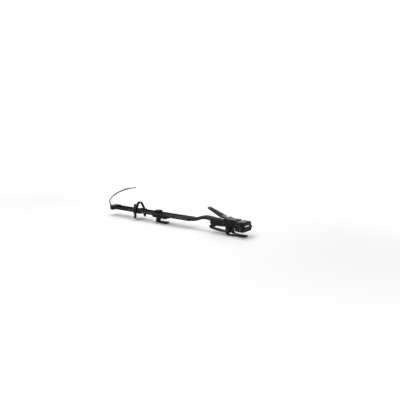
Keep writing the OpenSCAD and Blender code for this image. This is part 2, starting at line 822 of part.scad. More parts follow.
module strap_cradle() {
    wall = 4;
    ear_half = strap_w / 2 + 5;
    slot_y = strap_t / 2 + run_gap;
    outer = tray_half_w + tray_lip + run_gap + wall;
    ear_top = tray_top - 8;
    color(black) difference() {
        translate([-strap_x, 0, 0]) {
            along(-cradle_len / 2, cradle_len) difference() {
                polygon(both_sides([
                    [tray_base_half + 2, tray_z - run_gap - wall], [outer, tray_knee - wall],
                    [outer, tray_top + run_gap + wall - 1],
                    [outer - 1, tray_top + run_gap + wall],
                    [tray_side, tray_top + run_gap + wall], [tray_side, tray_top + run_gap / 2]
                ]));
                tray_body(run_gap);
            }
            for (s = [-1, 1]) translate([0, s * tail_y, (tray_z + ear_top) / 2])
                cube([2 * ear_half, 2 * (tail_y - outer) + 1, ear_top - tray_z], center = true);
        }
        for (s = [-1, 1]) {
            translate([-strap_x, s * tail_y, tray_z])
                cube([strap_w + 2 * run_gap, 2 * slot_y, 4 * tray_h], center = true);
            at_side(s) translate([0, 0, side_len / 2])
                cube([strap_w + 2 * run_gap, 2 * slot_y, side_len], center = true);
        }
    }
}

// Carries a side of the strap, from its knee up to its shoulder
module at_side(s) {
    translate([-strap_x, s * knee_y, knee_z]) rotate([s * strap_lean, 0, 0]) children();
}

// One edge of the strap, seen along the carrier: tail, knee, crown, knee and tail, moved out by d
function strap_edge(d) = concat(
    [[-knee_y - d, -tail_drop], [-knee_y - d, knee_z + d * tan(strap_lean / 2)]],
    [for (i = [0:crown_steps]) let (a = 180 - strap_lean - i * (180 - 2 * strap_lean) / crown_steps)
        [(strap_r + d) * cos(a), crown_z + (strap_r + d) * sin(a)]],
    [[knee_y + d, knee_z + d * tan(strap_lean / 2)], [knee_y + d, -tail_drop]]
);

module wheel_strap() {
    tooth = 6;
    inner = strap_edge(-strap_t / 2);
    color(black) {
        translate([-strap_x, 0, 0]) rotate([90, 0, 90]) linear_extrude(strap_w, center = true)
            polygon(concat(strap_edge(strap_t / 2), [for (i = [len(inner) - 1:-1:0]) inner[i]]));
        // Ladder teeth on the far side, and on the near tail
        at_side(1) for (z = [4:tooth:side_len - 4])
            translate([0, strap_t / 2 + 0.6, z]) cube([strap_w - 8, 1.4, tooth / 2], center = true);
        for (z = [-tail_drop + 3:tooth:tray_z - tooth])
            translate([-strap_x, -knee_y - strap_t / 2 - 0.6, z])
                cube([strap_w - 8, 1.4, tooth / 2], center = true);
    }
}

module rim_pad() {
    pad = 4;
    color(rubber) translate([-strap_x, 0, crown_z]) rotate([90, 0, 90]) rotate(strap_lean + 10)
        rotate_extrude(angle = 160 - 2 * strap_lean)
            translate([strap_r - strap_t / 2 - fit_gap - pad, -strap_w / 2 - 3])
                square([pad, strap_w + 6]);
}

// Two rivets hold the buckle to the strap
module strap_rivets() {
    color(steel) for (x = [-6, 6]) at_side(-1) translate([x, -strap_t / 2 - fit_gap - 3, 13])
        rotate([90, 0, 0]) cylinder(r = 2.5, h = 1.2);
}

buckle_half = strap_w / 2 + 5.5;
buckle_len = 52;
buckle_pin_at = [-13, 46];

module buckle_body() {
    floor_t = 3;
    color(black) at_side(-1) translate([0, -strap_t / 2 - fit_gap, 6]) difference() {
        union() {
            translate([-buckle_half, -floor_t, 0]) cube([2 * buckle_half, floor_t, buckle_len]);
            for (s = [-1, 1]) translate([s * (buckle_half - 1.5), 0, 0]) rotate([90, 0, 90])
                linear_extrude(3, center = true) polygon(concat(
                    [[0, 0], [0, buckle_len], [-10, buckle_len]],
                    arc(-11.5, buckle_len - 12, 7, 60, 180, 6),
                    [[-floor_t - 4, 8], [-floor_t, 0]]
                ));
        }
        translate([0, buckle_pin_at[0] + strap_t / 2 + fit_gap, buckle_pin_at[1] - 6])
            rotate([0, 90, 0]) cylinder(r = 2.5 + fit_gap, h = 4 * buckle_half, center = true);
    }
}

module buckle_lever() {
    half = buckle_half - 3 - run_gap;
    color(anodised) at_side(-1) difference() {
        union() {
            translate([0, buckle_pin_at[0], buckle_pin_at[1]]) rotate([0, 90, 0])
                cylinder(r = 5.5, h = 2 * half, center = true);
            translate([-half, buckle_pin_at[0] - 5.5, 4]) cube([2 * half, 4, buckle_pin_at[1] - 4]);
            translate([0, buckle_pin_at[0] - 3.5, 4]) rotate([0, 90, 0])
                cylinder(r = 3, h = 2 * half, center = true);
        }
        translate([0, buckle_pin_at[0], buckle_pin_at[1]]) rotate([0, 90, 0])
            cylinder(r = 2.5 + pin_gap, h = 4 * half, center = true);
    }
}

module buckle_pin() {
    color(steel) at_side(-1) translate([0, buckle_pin_at[0], buckle_pin_at[1]])
        rotate([0, 90, 0]) cylinder(r = 2.5, h = 2 * buckle_half, center = true);
}

echo(cable_length = run_length(smooth_route(cable_shape, cable_steps)));

wheel_tray();
tray_end_cap();
cable_ferrules();
lock_cable();
cable_lock_barrel();
neck_beam();
neck_bolts();
neck_cross_bolt();
head_housing();
front_foot();
front_pad();
axle_sleeve();
blank_plate();
lock_bosses();
head_lock_barrel();
torque_lever();
lever_grip();
lever_pin();
clamp_rod();
bar_claw();
claw_pad();
cam_lever();
cam_pin();
rear_foot();
rear_pad();
rear_claw();
rear_claw_pad();
rear_bolt();
rear_knob();
knob_washer();
strap_cradle();
wheel_strap();
rim_pad();
strap_rivets();
buckle_body();
buckle_lever();
buckle_pin();
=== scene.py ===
# Roof carrier with a through axle at its head and a wheel tray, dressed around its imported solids.
# Metres, X forward, Y left, Z up.
import json
import math
import bpy
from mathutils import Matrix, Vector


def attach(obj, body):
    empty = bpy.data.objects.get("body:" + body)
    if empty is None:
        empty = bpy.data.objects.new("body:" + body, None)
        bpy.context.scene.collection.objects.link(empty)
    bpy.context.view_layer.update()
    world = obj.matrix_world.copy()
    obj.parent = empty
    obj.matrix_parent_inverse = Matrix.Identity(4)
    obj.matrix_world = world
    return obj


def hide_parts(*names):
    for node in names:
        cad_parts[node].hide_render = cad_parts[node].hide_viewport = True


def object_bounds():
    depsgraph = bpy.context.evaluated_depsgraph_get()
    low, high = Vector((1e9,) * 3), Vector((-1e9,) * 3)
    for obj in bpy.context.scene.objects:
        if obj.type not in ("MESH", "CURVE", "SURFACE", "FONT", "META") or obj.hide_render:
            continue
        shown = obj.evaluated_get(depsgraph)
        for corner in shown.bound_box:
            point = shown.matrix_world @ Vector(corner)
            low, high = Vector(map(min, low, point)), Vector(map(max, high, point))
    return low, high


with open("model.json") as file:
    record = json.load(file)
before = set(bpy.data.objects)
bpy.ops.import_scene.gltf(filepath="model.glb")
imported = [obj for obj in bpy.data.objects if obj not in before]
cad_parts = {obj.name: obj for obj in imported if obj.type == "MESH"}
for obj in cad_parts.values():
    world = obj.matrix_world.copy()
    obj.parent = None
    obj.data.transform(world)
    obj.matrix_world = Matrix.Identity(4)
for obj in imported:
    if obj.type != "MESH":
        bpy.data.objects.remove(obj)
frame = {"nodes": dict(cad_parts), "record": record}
cad_box = [list(corner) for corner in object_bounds()]

# Camera at the photograph's place: a 40 mm lens some 2.9 m away, to the right of the head and ahead of it,
# looking back along the carrier and down at nine degrees.
bpy.ops.object.select_all(action="DESELECT")
bpy.ops.object.camera_add(location=(1.546, -2.465, 0.680),
                          rotation=(math.radians(80.74), 0, math.radians(37.62)))
camera = bpy.context.object
camera.data.lens = 40
camera.data.sensor_width = 36
bpy.context.scene.camera = camera


# Lock cable: seven-strand steel in a black vinyl sheath, 6 mm thick and 0.8 m long. It leaves the end cap
# at the near ferrule, stands up in a stiff loop by its own spring, and goes back in at the far ferrule.
def mm(*values):
    return tuple(v / 1000 for v in values)


def linear(hex_code):
    parts = [int(hex_code[i:i + 2], 16) / 255 for i in (1, 3, 5)]
    return [c / 12.92 if c <= 0.04045 else ((c + 0.055) / 1.055) ** 2.4 for c in parts] + [1]


def fit(tree, kind, inputs, **settings):
    made = tree.nodes.new(kind)
    for key, value in settings.items():
        setattr(made, key, value)
    for key, value in inputs.items():
        if isinstance(value, bpy.types.NodeSocket):
            tree.links.new(value, made.inputs[key])
        else:
            made.inputs[key].default_value = value
    return made


def new_finish(name):
    finish = bpy.data.materials.new(name)
    finish.use_nodes = True
    finish.node_tree.nodes.clear()
    place = fit(finish.node_tree, "ShaderNodeTexCoord", {})
    return finish, finish.node_tree, place


def two_tone(tree, height, dark, pale, low=0.3, high=0.75):
    tint = fit(tree, "ShaderNodeValToRGB", {"Fac": height})
    for stop, at, colour in zip(tint.color_ramp.elements, (low, high), (dark, pale)):
        stop.position = at
        stop.color = linear(colour)
    return tint.outputs["Color"]


# Mixes in another colour on the bevelled edges, broken up by the same patches as the rest: wear where an
# edge is rubbed, and on the dark finishes a paler painted highlight along the edges too
def wear_and_edge_highlight(tree, tone, patches, colour, most):
    worn_and_highlit_edge = fit(tree, "ShaderNodeAttribute", {}, attribute_name="worn_and_highlit_edge")
    broken = fit(tree, "ShaderNodeMapRange", {"Value": patches, "From Min": 0.35, "From Max": 0.65,
                                              "To Max": most})
    share = fit(tree, "ShaderNodeMath", {0: worn_and_highlit_edge.outputs["Fac"], 1: broken.outputs["Result"]},
                operation="MULTIPLY")
    mixed = fit(tree, "ShaderNodeMix", {0: share.outputs["Value"], 6: tone, 7: linear(colour)},
                data_type="RGBA")
    return mixed.outputs[2]


def close_finish(tree, inputs):
    shader = fit(tree, "ShaderNodeBsdfPrincipled", inputs)
    fit(tree, "ShaderNodeOutputMaterial", {"Surface": shader.outputs["BSDF"]})


def dress(piece, finish, body, slot, *nodes):
    piece.data.materials.clear()
    piece.data.materials.append(finish)
    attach(piece, body)
    if nodes:
        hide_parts(*nodes)
    return piece


cable_base = (-1285, 0, 42)
cable_shape = [
    (-1, -14, 1), (-6, -14, 6), (-12.5, -14, 14.5), (-16, -14, 25), (-11, -14, 37), (0, -15, 51),
    (19, -16, 68), (45, -18, 87), (79, -20, 105), (117, -22, 122), (159, -24, 138), (201, -26, 151),
    (239, -26, 159), (262, -18, 163), (271, 3, 164), (262, 24, 163), (239, 32, 159), (201, 31, 151),
    (159, 30, 140), (119, 28, 129), (81, 26, 115), (45, 23, 99), (15, 20, 82), (-9, 17, 66), (-28, 15, 49),
    (-40, 14, 32), (-43, 14, 15), (-38.5, 14, 0), (-29, 14, -10.5), (-19, 14, -14.3), (-11, 14, -14.5),
]
bpy.ops.curve.primitive_bezier_curve_add()
cable = bpy.context.object
cable.name = "lock_cable_sheath"
line = cable.data.splines[0]
line.bezier_points.add(len(cable_shape) - len(line.bezier_points))
for knot, offset in zip(line.bezier_points, cable_shape):
    knot.co = mm(*(a + b for a, b in zip(cable_base, offset)))
    knot.handle_left_type = knot.handle_right_type = "AUTO"
cable.data.dimensions = "3D"
cable.data.resolution_u = 8
cable.data.bevel_depth = 0.003
cable.data.bevel_resolution = 4

# Extruded vinyl over laid strands: a soft gloss, with the strands' lay just showing as slanting swells 9 mm
# apart, drawn coarser than the real 4 mm so that they show, and a dull scuff here and there.
vinyl, tree, place = new_finish("extruded_vinyl_sheath")
scuff = fit(tree, "ShaderNodeTexNoise", {"Vector": place.outputs["Object"], "Scale": 90, "Detail": 5})
lay = fit(tree, "ShaderNodeTexWave", {"Vector": place.outputs["Object"], "Scale": 55, "Distortion": 0.6,
                                      "Detail": 1}, bands_direction="DIAGONAL")
swell = fit(tree, "ShaderNodeBump", {"Height": lay.outputs["Fac"], "Strength": 0.35, "Distance": 0.0005})
shine = fit(tree, "ShaderNodeMapRange", {"Value": scuff.outputs["Fac"], "From Min": 0.35, "From Max": 0.7,
                                         "To Min": 0.26, "To Max": 0.46})
close_finish(tree, {"Base Color": two_tone(tree, scuff.outputs["Fac"], "#101010", "#1b1b1b"),
                    "Roughness": shine.outputs["Result"], "IOR": 1.53, "Specular IOR Level": 0.25,
                    "Normal": swell.outputs["Normal"]})
dress(cable, vinyl, "carrier", "cable_sheath", "lock_cable")


# Wheel tray: one length of aluminium extrusion, black anodised. The die leaves a groove along each side, a
# bead under each lip and shallow grooves in the floor, and the bolt's slot is milled through afterwards.
def settle(name):
    piece = bpy.context.object
    piece.name = name
    bpy.ops.object.transform_apply(location=True, rotation=True, scale=True)
    return piece


def outline(name, points, push):
    bpy.ops.object.select_all(action="DESELECT")
    bpy.ops.mesh.primitive_plane_add(size=0.01)
    piece = settle(name)
    bpy.ops.object.mode_set(mode="EDIT")
    bpy.ops.mesh.select_all(action="SELECT")
    bpy.ops.mesh.merge(type="CENTER")
    here = (0, 0, 0)
    for step, point in enumerate(points):
        way = mm(*(b - a for a, b in zip(here, point)))
        if step == 0:
            bpy.ops.transform.translate(value=way)
        else:
            bpy.ops.mesh.extrude_vertices_move(TRANSFORM_OT_translate={"value": way})
        here = point
    bpy.ops.mesh.select_all(action="SELECT")
    bpy.ops.mesh.edge_face_add()
    bpy.ops.mesh.extrude_region_move(TRANSFORM_OT_translate={"value": mm(*push)})
    bpy.ops.mesh.select_all(action="SELECT")
    bpy.ops.mesh.normals_make_consistent(inside=False)
    bpy.ops.object.mode_set(mode="OBJECT")
    return piece


def work_on(piece):
    bpy.ops.object.select_all(action="DESELECT")
    piece.select_set(True)
    bpy.context.view_layer.objects.active = piece


# Rounds the sharp edges, and marks the faces that this makes, so that a finish can show wear and a painted
# edge highlight there
def ease(piece, width, segments=2, angle=35):
    work_on(piece)
    piece.data.materials.clear()
    for _ in ("face", "edge"):
        piece.data.materials.append(None)
    edge = piece.modifiers.new("edge", "BEVEL")
    edge.width = width / 1000
    edge.segments = segments
    edge.limit_method = "ANGLE"
    edge.angle_limit = math.radians(angle)
    edge.material = 1
    bpy.ops.object.modifier_apply(modifier="edge")
    # This mark drives the paler edges in the finishes: part wear, part painted highlight.
    worn_and_highlit_edge = piece.data.attributes.new("worn_and_highlit_edge", "FLOAT", "FACE")
    for face, mark in zip(piece.data.polygons, worn_and_highlit_edge.data):
        mark.value = face.material_index
        face.material_index = 0
    bpy.ops.object.shade_smooth_by_angle(angle=math.radians(32))
    return piece


def cut(piece, *tools):
    for tool in tools:
        work_on(piece)
        bite = piece.modifiers.new("bite", "BOOLEAN")
        bite.operation = "DIFFERENCE"
        bite.object = tool
        bpy.ops.object.modifier_apply(modifier="bite")
        bpy.data.objects.remove(tool)
    bpy.ops.object.shade_smooth_by_angle(angle=math.radians(32))
    return piece


def round_off(x, y, r, start, stop, step=15):
    turns = [math.radians(a) for a in range(start, stop + 1, step)]
    return [(x + r * math.cos(a), y + r * math.sin(a)) for a in turns]


tray_rear, tray_long = -1255, 823
tray_half = [
    (22, 12), (40, 24), (40, 26.4), (39.1, 27.2), (39.1, 28.8), (40, 29.6), (40, 32.8), (43.5, 32.8),
    (43.5, 36), (36.8, 36), (36.8, 25.6), (31.2, 21.9), (30.8, 21.1), (29.4, 20.2), (28.6, 20.2),
    (20.9, 15.2), (15.2, 15.2), (14.7, 14.5), (12.3, 14.5), (11.8, 15.2), (5.2, 15.2), (4.7, 14.5),
    (2.3, 14.5), (1.8, 15.2),
]
tray_line = [(tray_rear, y, z) for y, z in tray_half]
tray_line += [(tray_rear, -y, z) for y, z in reversed(tray_half)]
tray = ease(outline("wheel_tray_extrusion", tray_line, (tray_long, 0, 0)), 0.45)
slot_ends = [(-808, 90), (-664, -90)]
slot_r, slot_z, slot_deep = 5.3, 10, 8
slot_line = [(x, y, slot_z) for end, turn in slot_ends
             for x, y in round_off(end, 0, slot_r, turn, turn + 180)]
cut(tray, outline("slot_cutter", slot_line, (0, 0, slot_deep)))

# Anodised extrusion: satin and nearly black, dim even at a grazing look, with the die's drawing lines about
# 1 mm apart along the length, faint cloudy patches from the bath, and paler edges, part wear, part painted
# highlight.
anodised, tree, place = new_finish("black_anodised_extrusion")
drawn = fit(tree, "ShaderNodeMapping", {"Vector": place.outputs["Object"], "Scale": (4, 1000, 1000)})
lines = fit(tree, "ShaderNodeTexNoise", {"Vector": drawn.outputs["Vector"], "Scale": 1, "Detail": 3})
bath = fit(tree, "ShaderNodeTexNoise", {"Vector": place.outputs["Object"], "Scale": 14, "Detail": 4})
shine = fit(tree, "ShaderNodeMapRange", {"Value": bath.outputs["Fac"], "From Min": 0.3, "From Max": 0.7,
                                         "To Min": 0.36, "To Max": 0.5})
comb = fit(tree, "ShaderNodeBump", {"Height": lines.outputs["Fac"], "Strength": 0.18, "Distance": 0.0002})
streaks = two_tone(tree, lines.outputs["Fac"], "#29292a", "#3a3a3b")
# Paler edges: part wear, part a painted highlight along the edges.
tone = wear_and_edge_highlight(tree, streaks, bath.outputs["Fac"], "#777776", 0.6)
close_finish(tree, {"Base Color": tone, "Metallic": 0.85, "Roughness": shine.outputs["Result"],
                    "Specular Tint": linear("#6e6e6e"), "Normal": comb.outputs["Normal"]})
dress(tray, anodised, "carrier", "anodised_aluminium", "wheel_tray")


# Tray end cap: black glass-filled nylon, moulded in one shot, pushed over the tray's end and held by a screw
# on each side. Its back is rounded and swept up, and four low ridges across the top stiffen it.
slots = {row["node"]: row["material_slot"] for row in frame["record"]["subparts"]}
bodies = {node: body for body, nodes in frame["record"]["behaviour"]["bodies"].items() for node in nodes}


def moulded(name, dark, pale, rough, grain_mm, depth=0.3, worn_and_lit_edge_colour="#3c3c3b"):
    # Tool grain, drawn coarser than the real 0.3 mm so that it shows, a cloudy tone from the glass fill,
    # a paler film on faces that look up, part dust and part painted highlight, and paler edges, part wear
    # and part painted highlight.
    finish, tree, place = new_finish(name)
    cloud = fit(tree, "ShaderNodeTexNoise", {"Vector": place.outputs["Object"], "Scale": 24, "Detail": 6})
    grain = fit(tree, "ShaderNodeTexNoise", {"Vector": place.outputs["Object"], "Scale": 1000 / grain_mm,
                                             "Detail": 3, "Roughness": 0.6})
    stipple = fit(tree, "ShaderNodeBump", {"Height": grain.outputs["Fac"], "Strength": depth,
                                           "Distance": 0.001})
    mottle = fit(tree, "ShaderNodeMath", {0: cloud.outputs["Fac"], 1: grain.outputs["Fac"]},
                 operation="MULTIPLY")
    shine = fit(tree, "ShaderNodeMapRange", {"Value": mottle.outputs["Value"], "From Min": 0.12,
                                             "From Max": 0.4, "To Min": rough - 0.1, "To Max": rough + 0.12})
    facing = fit(tree, "ShaderNodeSeparateXYZ", {"Vector": place.outputs["Normal"]})
    # Faces that look up are mixed towards a pale grey: part dust, part painted highlight.
    dust_and_top_highlight = fit(tree, "ShaderNodeMapRange", {"Value": facing.outputs["Z"], "From Min": 0.6, "From Max": 1,
                                               "To Min": 0, "To Max": 0.08})
    patchy_dust_and_highlight = fit(tree, "ShaderNodeMath", {0: dust_and_top_highlight.outputs["Result"], 1: cloud.outputs["Fac"]},
                 operation="MULTIPLY")
    plain = two_tone(tree, mottle.outputs["Value"], dark, pale, 0.14, 0.38)
    tone = fit(tree, "ShaderNodeMix", {0: patchy_dust_and_highlight.outputs["Value"], 6: plain, 7: linear("#77746f")},
               data_type="RGBA")
    # Edges are mixed towards the edge colour: wear, and on the dark finishes a painted highlight.
    close_finish(tree, {"Base Color": wear_and_edge_highlight(tree, tone.outputs[2], cloud.outputs["Fac"], worn_and_lit_edge_colour, 0.7),
                        "Roughness": shine.outputs["Result"], "IOR": 1.53, "Specular IOR Level": 0.1,
                        "Normal": stipple.outputs["Normal"]})
    return finish


def eased(node, width, segments=2):
    source = frame["nodes"][node]
    piece = bpy.data.objects.new(node + "_dressed", source.data.copy())
    bpy.context.scene.collection.objects.link(piece)
    work_on(piece)
    bpy.ops.object.mode_set(mode="EDIT")
    bpy.ops.mesh.select_all(action="SELECT")
    bpy.ops.mesh.remove_doubles(threshold=0.00001)
    bpy.ops.mesh.dissolve_limited(angle_limit=math.radians(0.5))
    bpy.ops.object.mode_set(mode="OBJECT")
    return ease(piece, width, segments)


def carry(node, finish, width, segments=2):
    return dress(eased(node, width, segments), finish, bodies[node], slots[node], node)


def block(name, low, high):
    bpy.ops.object.select_all(action="DESELECT")
    bpy.ops.mesh.primitive_cube_add(size=1, location=mm(*((a + b) / 2 for a, b in zip(low, high))))
    bpy.context.object.scale = mm(*(b - a for a, b in zip(low, high)))
    return settle(name)


def joined(name, pieces):
    work_on(pieces[0])
    for piece in pieces:
        piece.select_set(True)
    bpy.ops.object.join()
    pieces[0].name = name
    return pieces[0]


def placed(piece, name, at, tilt):
    piece.location = mm(*at)
    piece.rotation_euler = [math.radians(a) for a in tilt]
    work_on(piece)
    return settle(name)


def turned(name, profile, at, tilt=(0, 0, 0), steps=40):
    bpy.ops.object.select_all(action="DESELECT")
    bpy.ops.mesh.primitive_plane_add(size=0.01)
    bpy.ops.object.mode_set(mode="EDIT")
    bpy.ops.mesh.select_all(action="SELECT")
    bpy.ops.mesh.merge(type="CENTER")
    here = (0, 0)
    for step, point in enumerate(profile):
        way = mm(point[0] - here[0], 0, point[1] - here[1])
        if step == 0:
            bpy.ops.transform.translate(value=way)
        else:
            bpy.ops.mesh.extrude_vertices_move(TRANSFORM_OT_translate={"value": way})
        here = point
    bpy.ops.mesh.select_all(action="SELECT")
    bpy.ops.mesh.spin(steps=steps, angle=2 * math.pi, center=(0, 0, 0), axis=(0, 0, 1))
    bpy.ops.mesh.select_all(action="SELECT")
    bpy.ops.mesh.remove_doubles(threshold=0.000005)
    bpy.ops.mesh.normals_make_consistent(inside=False)
    bpy.ops.object.mode_set(mode="OBJECT")
    piece = placed(bpy.context.object, name, at, tilt)
    bpy.ops.object.shade_smooth_by_angle(angle=math.radians(32))
    return piece


# A six-lobed screw head, modelled upright: a domed disc whose socket is sunk, and pinched between its lobes
def screw(name, r, at, tilt):
    piece = turned(name, [(0, -1), (r, -1), (r, 0.5), (r * 0.86, 1.1), (r * 0.62, 1.35), (r * 0.56, 1.3),
                          (r * 0.52, 0.1), (0, 0.1)], (0, 0, 0), steps=24)
    socket = r * 0.57 / 1000
    for vertex in piece.data.vertices:
        reach = math.hypot(vertex.co.x, vertex.co.y)
        corner = round(math.degrees(math.atan2(vertex.co.y, vertex.co.x)) / 15)
        if 0.0001 < reach < socket and corner % 4 in (0, 1):
            vertex.co.x *= 0.8
            vertex.co.y *= 0.8
    return placed(piece, name, at, tilt)


black_nylon = moulded("moulded_black_nylon", "#101011", "#181818", 0.46, 1.6)
carry("tray_end_cap", black_nylon, 2.2, 3)
ridges = joined("end_cap_ridges", [block("ridge", (x, -22, 41.2), (x + 2.4, 22, 42.8))
                                   for x in (-1263, -1256, -1249, -1242)])
dress(ease(ridges, 0.7), black_nylon, "carrier", "black_plastic")


# Fasteners: zinc plated steel, black passivated where they show. The cap's two screws, the ferrules that the
# cable is crimped into, and the lock's barrel with its keyway.
def plated(name, dark, pale, rough):
    # Plating over turned steel: a spangle 3 mm across, drawn coarser than the real one so that it shows, and
    # turning marks too fine to draw but as sheen.
    finish, tree, place = new_finish(name)
    spangle = fit(tree, "ShaderNodeTexVoronoi", {"Vector": place.outputs["Object"], "Scale": 330})
    haze = fit(tree, "ShaderNodeTexNoise", {"Vector": place.outputs["Object"], "Scale": 120, "Detail": 5})
    shine = fit(tree, "ShaderNodeMapRange", {"Value": haze.outputs["Fac"], "From Min": 0.3, "From Max": 0.7,
                                             "To Min": rough - 0.07, "To Max": rough + 0.1})
    marks = fit(tree, "ShaderNodeBump", {"Height": spangle.outputs["Distance"], "Strength": 0.06,
                                         "Distance": 0.0003})
    close_finish(tree, {"Base Color": two_tone(tree, haze.outputs["Fac"], dark, pale), "Metallic": 1,
                        "Roughness": shine.outputs["Result"], "Normal": marks.outputs["Normal"]})
    return finish


dark_zinc = plated("black_zinc_plate", "#333334", "#434344", 0.38)
bright_zinc = plated("bright_zinc_plate", "#8a8c8e", "#a9aaaa", 0.33)
near_far = ((-1, "near"), (1, "far"))
for side, name in near_far:
    head = screw("end_cap_screw." + name, 4, (-1238, side * 46, 25), (-90 * side, 0, 0))
    dress(head, dark_zinc, "carrier", "dark_steel")
carry("cable_ferrules", dark_zinc, 0.7, 3)
carry("cable_lock_barrel", dark_zinc, 0.4)
collar = [(5.9, 0), (7.6, 0), (7.6, 1.2), (7, 1.9), (6.4, 1.9), (5.9, 1.3), (5.9, 0)]
cap_lock = turned("cap_lock_collar", collar, (-1284.2, -14, 27.5), (0, -90, 0))
dress(cap_lock, black_nylon, "carrier", "black_plastic")
boot = [(3.15, -1), (5.6, -1), (5.6, 2.5), (4.9, 3), (4.9, 3.8), (5.2, 4.4), (5.2, 6), (4.5, 6.5),
        (4.5, 7.3), (4.8, 7.9), (4.8, 9.5), (4, 11), (3.15, 11.6), (3.15, -1)]
soft_black = moulded("moulded_soft_vinyl", "#111111", "#191919", 0.5, 1.2)
near_boot = turned("cable_boot.near", boot, (-1286.6, -14, 43.6), (0, -45, 0))
dress(near_boot, soft_black, "carrier", "cable_sheath")
far_boot = turned("cable_boot.far", boot, (-1296, 14, 27.5), (0, -90, 0))
dress(far_boot, soft_black, "carrier", "cable_sheath")

# Neck: a rounded aluminium tube, bent up out of the tray and over to the head, anodised like the tray and
# bolted through the tray's floor, with a cross bolt through the head. A moulded plug closes its rear end.
carry("neck_beam", anodised, 0.3, 1)
tube_end, tube_z = -494, 27.2
plug_y, plug_z, plug_r = 17, 4, 7.4
plug_rear, plug_t = tube_end - 2.4, 2.35
corners = [(plug_y, plug_z, 0), (-plug_y, plug_z, 90), (-plug_y, -plug_z, 180), (plug_y, -plug_z, 270)]
plug_line = [(plug_rear, y, z) for corner_y, corner_z, turn in corners
             for y, z in round_off(corner_y, tube_z + corner_z, plug_r, turn, turn + 90)]
tube_plug = ease(outline("neck_end_plug", plug_line, (plug_t, 0, 0)), 0.9, 3)
dress(tube_plug, black_nylon, "carrier", "black_plastic")
carry("neck_bolts", bright_zinc, 0.6)
carry("neck_cross_bolt", dark_zinc, 0.6)

# Head housing: a black nylon moulding round the neck's front end, its lower edges chamfered into a skirt. A
# lid closes its front deck with two screws, and two grooves along each side show where the tool parted.
housing_half = 36
housing = eased("head_housing", 2, 3)
grooves = [block("groove", (-226, side * housing_half - 0.7, z), (-44, side * housing_half + 0.7, z + 1.3))
           for side, _ in near_far for z in (27, 31)]
skirt_rear, skirt_long = -240, 215
skirt_half = [(housing_half + 1, 27), (housing_half + 1, 0), (housing_half - 20, 0)]
skirts = [outline("skirt", [(skirt_rear, side * y, z) for y, z in skirt_half], (skirt_long, 0, 0))
          for side, _ in near_far]
cut(housing, *grooves, *skirts)
dress(housing, black_nylon, "carrier", slots["head_housing"], "head_housing")
lid_z = 69.6
lid_half = [(-88, 25), (-83, 29), (-40, 29), (-34, 23)]
lid = outline("housing_lid", [(x, -y, lid_z) for x, y in lid_half]
              + [(x, y, lid_z) for x, y in reversed(lid_half)], (0, 0, 1.9))
dress(ease(lid, 0.9, 3), black_nylon, "carrier", "black_plastic")
for side, name in near_far:
    lid_screw = screw("housing_lid_screw." + name, 3.2, (-46, side * 20, lid_z + 1.3), (0, 0, 0))
    dress(lid_screw, dark_zinc, "carrier", "dark_steel")

# Front foot: the nylon block that takes the through axle, on a ribbed rubber pad. A raised brow runs round
# its top, a groove marks the tool's split line, and a bare white plate is let into its face.
foot_half, foot_front = 48, 44
foot = eased("front_foot", 2.6, 3)
split_low, split_high, split_deep = 54, 55.3, 0.8
splits = [block("groove", (foot_front - split_deep, -foot_half + 6, split_low),
                (foot_front + split_deep, foot_half - 6, split_high))]
splits += [block("groove", (-20, side * foot_half - split_deep, split_low),
                 (foot_front - 8, side * foot_half + split_deep, split_high)) for side, _ in near_far]
cut(foot, *splits)
dress(foot, black_nylon, "carrier", slots["front_foot"], "front_foot")
rubber = moulded("pressed_black_rubber", "#0e0e0e", "#151515", 0.7, 1.2)
carry("front_pad", rubber, 0.5)
white = moulded("bare_white_plate", "#e3e3e1", "#ededeb", 0.38, 1.2, 0.1, "#d8d8d5")
carry("blank_plate", white, 0.4)
brow_z = 63.9
brow_half = [(-16, 39), (-12, 43), (29, 43), (33, 39)]
brow = outline("foot_brow", [(x, -y, brow_z) for x, y in brow_half]
               + [(x, y, brow_z) for x, y in reversed(brow_half)], (0, 0, 1.2))
dress(ease(brow, 0.6), black_nylon, "carrier", "black_plastic")

# Axle sleeve: a turned steel tube through the foot. Each end has a flange with a ring of radial teeth that
# bite what is clamped there.
carry("axle_sleeve", dark_zinc, 0.4)
axle_z, axle_half = 49, 50
teeth = [placed(block("tooth", (9.5, -0.35, -0.3), (14, 0.35, 0.35)), "tooth", (0, side * axle_half, axle_z),
                (90, 15 * i, 0)) for side, _ in near_far for i in range(24)]
dress(joined("axle_flange_teeth", teeth), dark_zinc, "carrier", "dark_steel")

# Lock bosses: a grey-black cover on each side of the foot, with a shallow ring round its edge. The near one
# is bored for the lock, whose barrel turns in a steel collar, and a plain plug closes the far one.
grey_nylon = moulded("moulded_grey_nylon", "#1d1d1e", "#262627", 0.48, 1.6)
carry("lock_bosses", grey_nylon, 1.6, 3)
carry("head_lock_barrel", dark_zinc, 0.5)
lock_x, lock_z = 24, 23
boss_face = 62.9
ring = [(8.5, 0), (10.6, 0), (10.6, 0.5), (10, 1), (9, 1), (8.5, 0.5), (8.5, 0)]
lock_collar = turned("head_lock_collar", ring, (lock_x, -boss_face, lock_z), (90, 0, 0))
dress(lock_collar, dark_zinc, "carrier", "dark_steel")
rim = [(12.6, -0.4), (14.6, -0.4), (14.6, 0.3), (14.2, 0.7), (13, 0.7), (12.6, 0.3), (12.6, -0.4)]
rims = [turned("rim", rim, (lock_x, side * boss_face, lock_z), (-90 * side, 0, 0)) for side, _ in near_far]
dress(joined("lock_boss_rims", rims), grey_nylon, "carrier", "grey_plastic")
plug = [(0, -0.4), (8.2, -0.4), (8.2, 0.5), (7.4, 1), (0, 1.2)]
far_plug = turned("lock_boss_plug", plug, (lock_x, boss_face, lock_z), (-90, 0, 0))
dress(far_plug, black_nylon, "carrier", "black_plastic")

# Torque lever: a long nylon paddle on an eccentric hub. A softer grip is let into its back, with raised bars
# for the palm, and two ribs and a row of cross webs underneath keep it stiff.
pivot = (-122, 0, 67.07)
rise = 22


def on_lever(piece):
    return placed(piece, piece.name, pivot, (0, rise, 0))


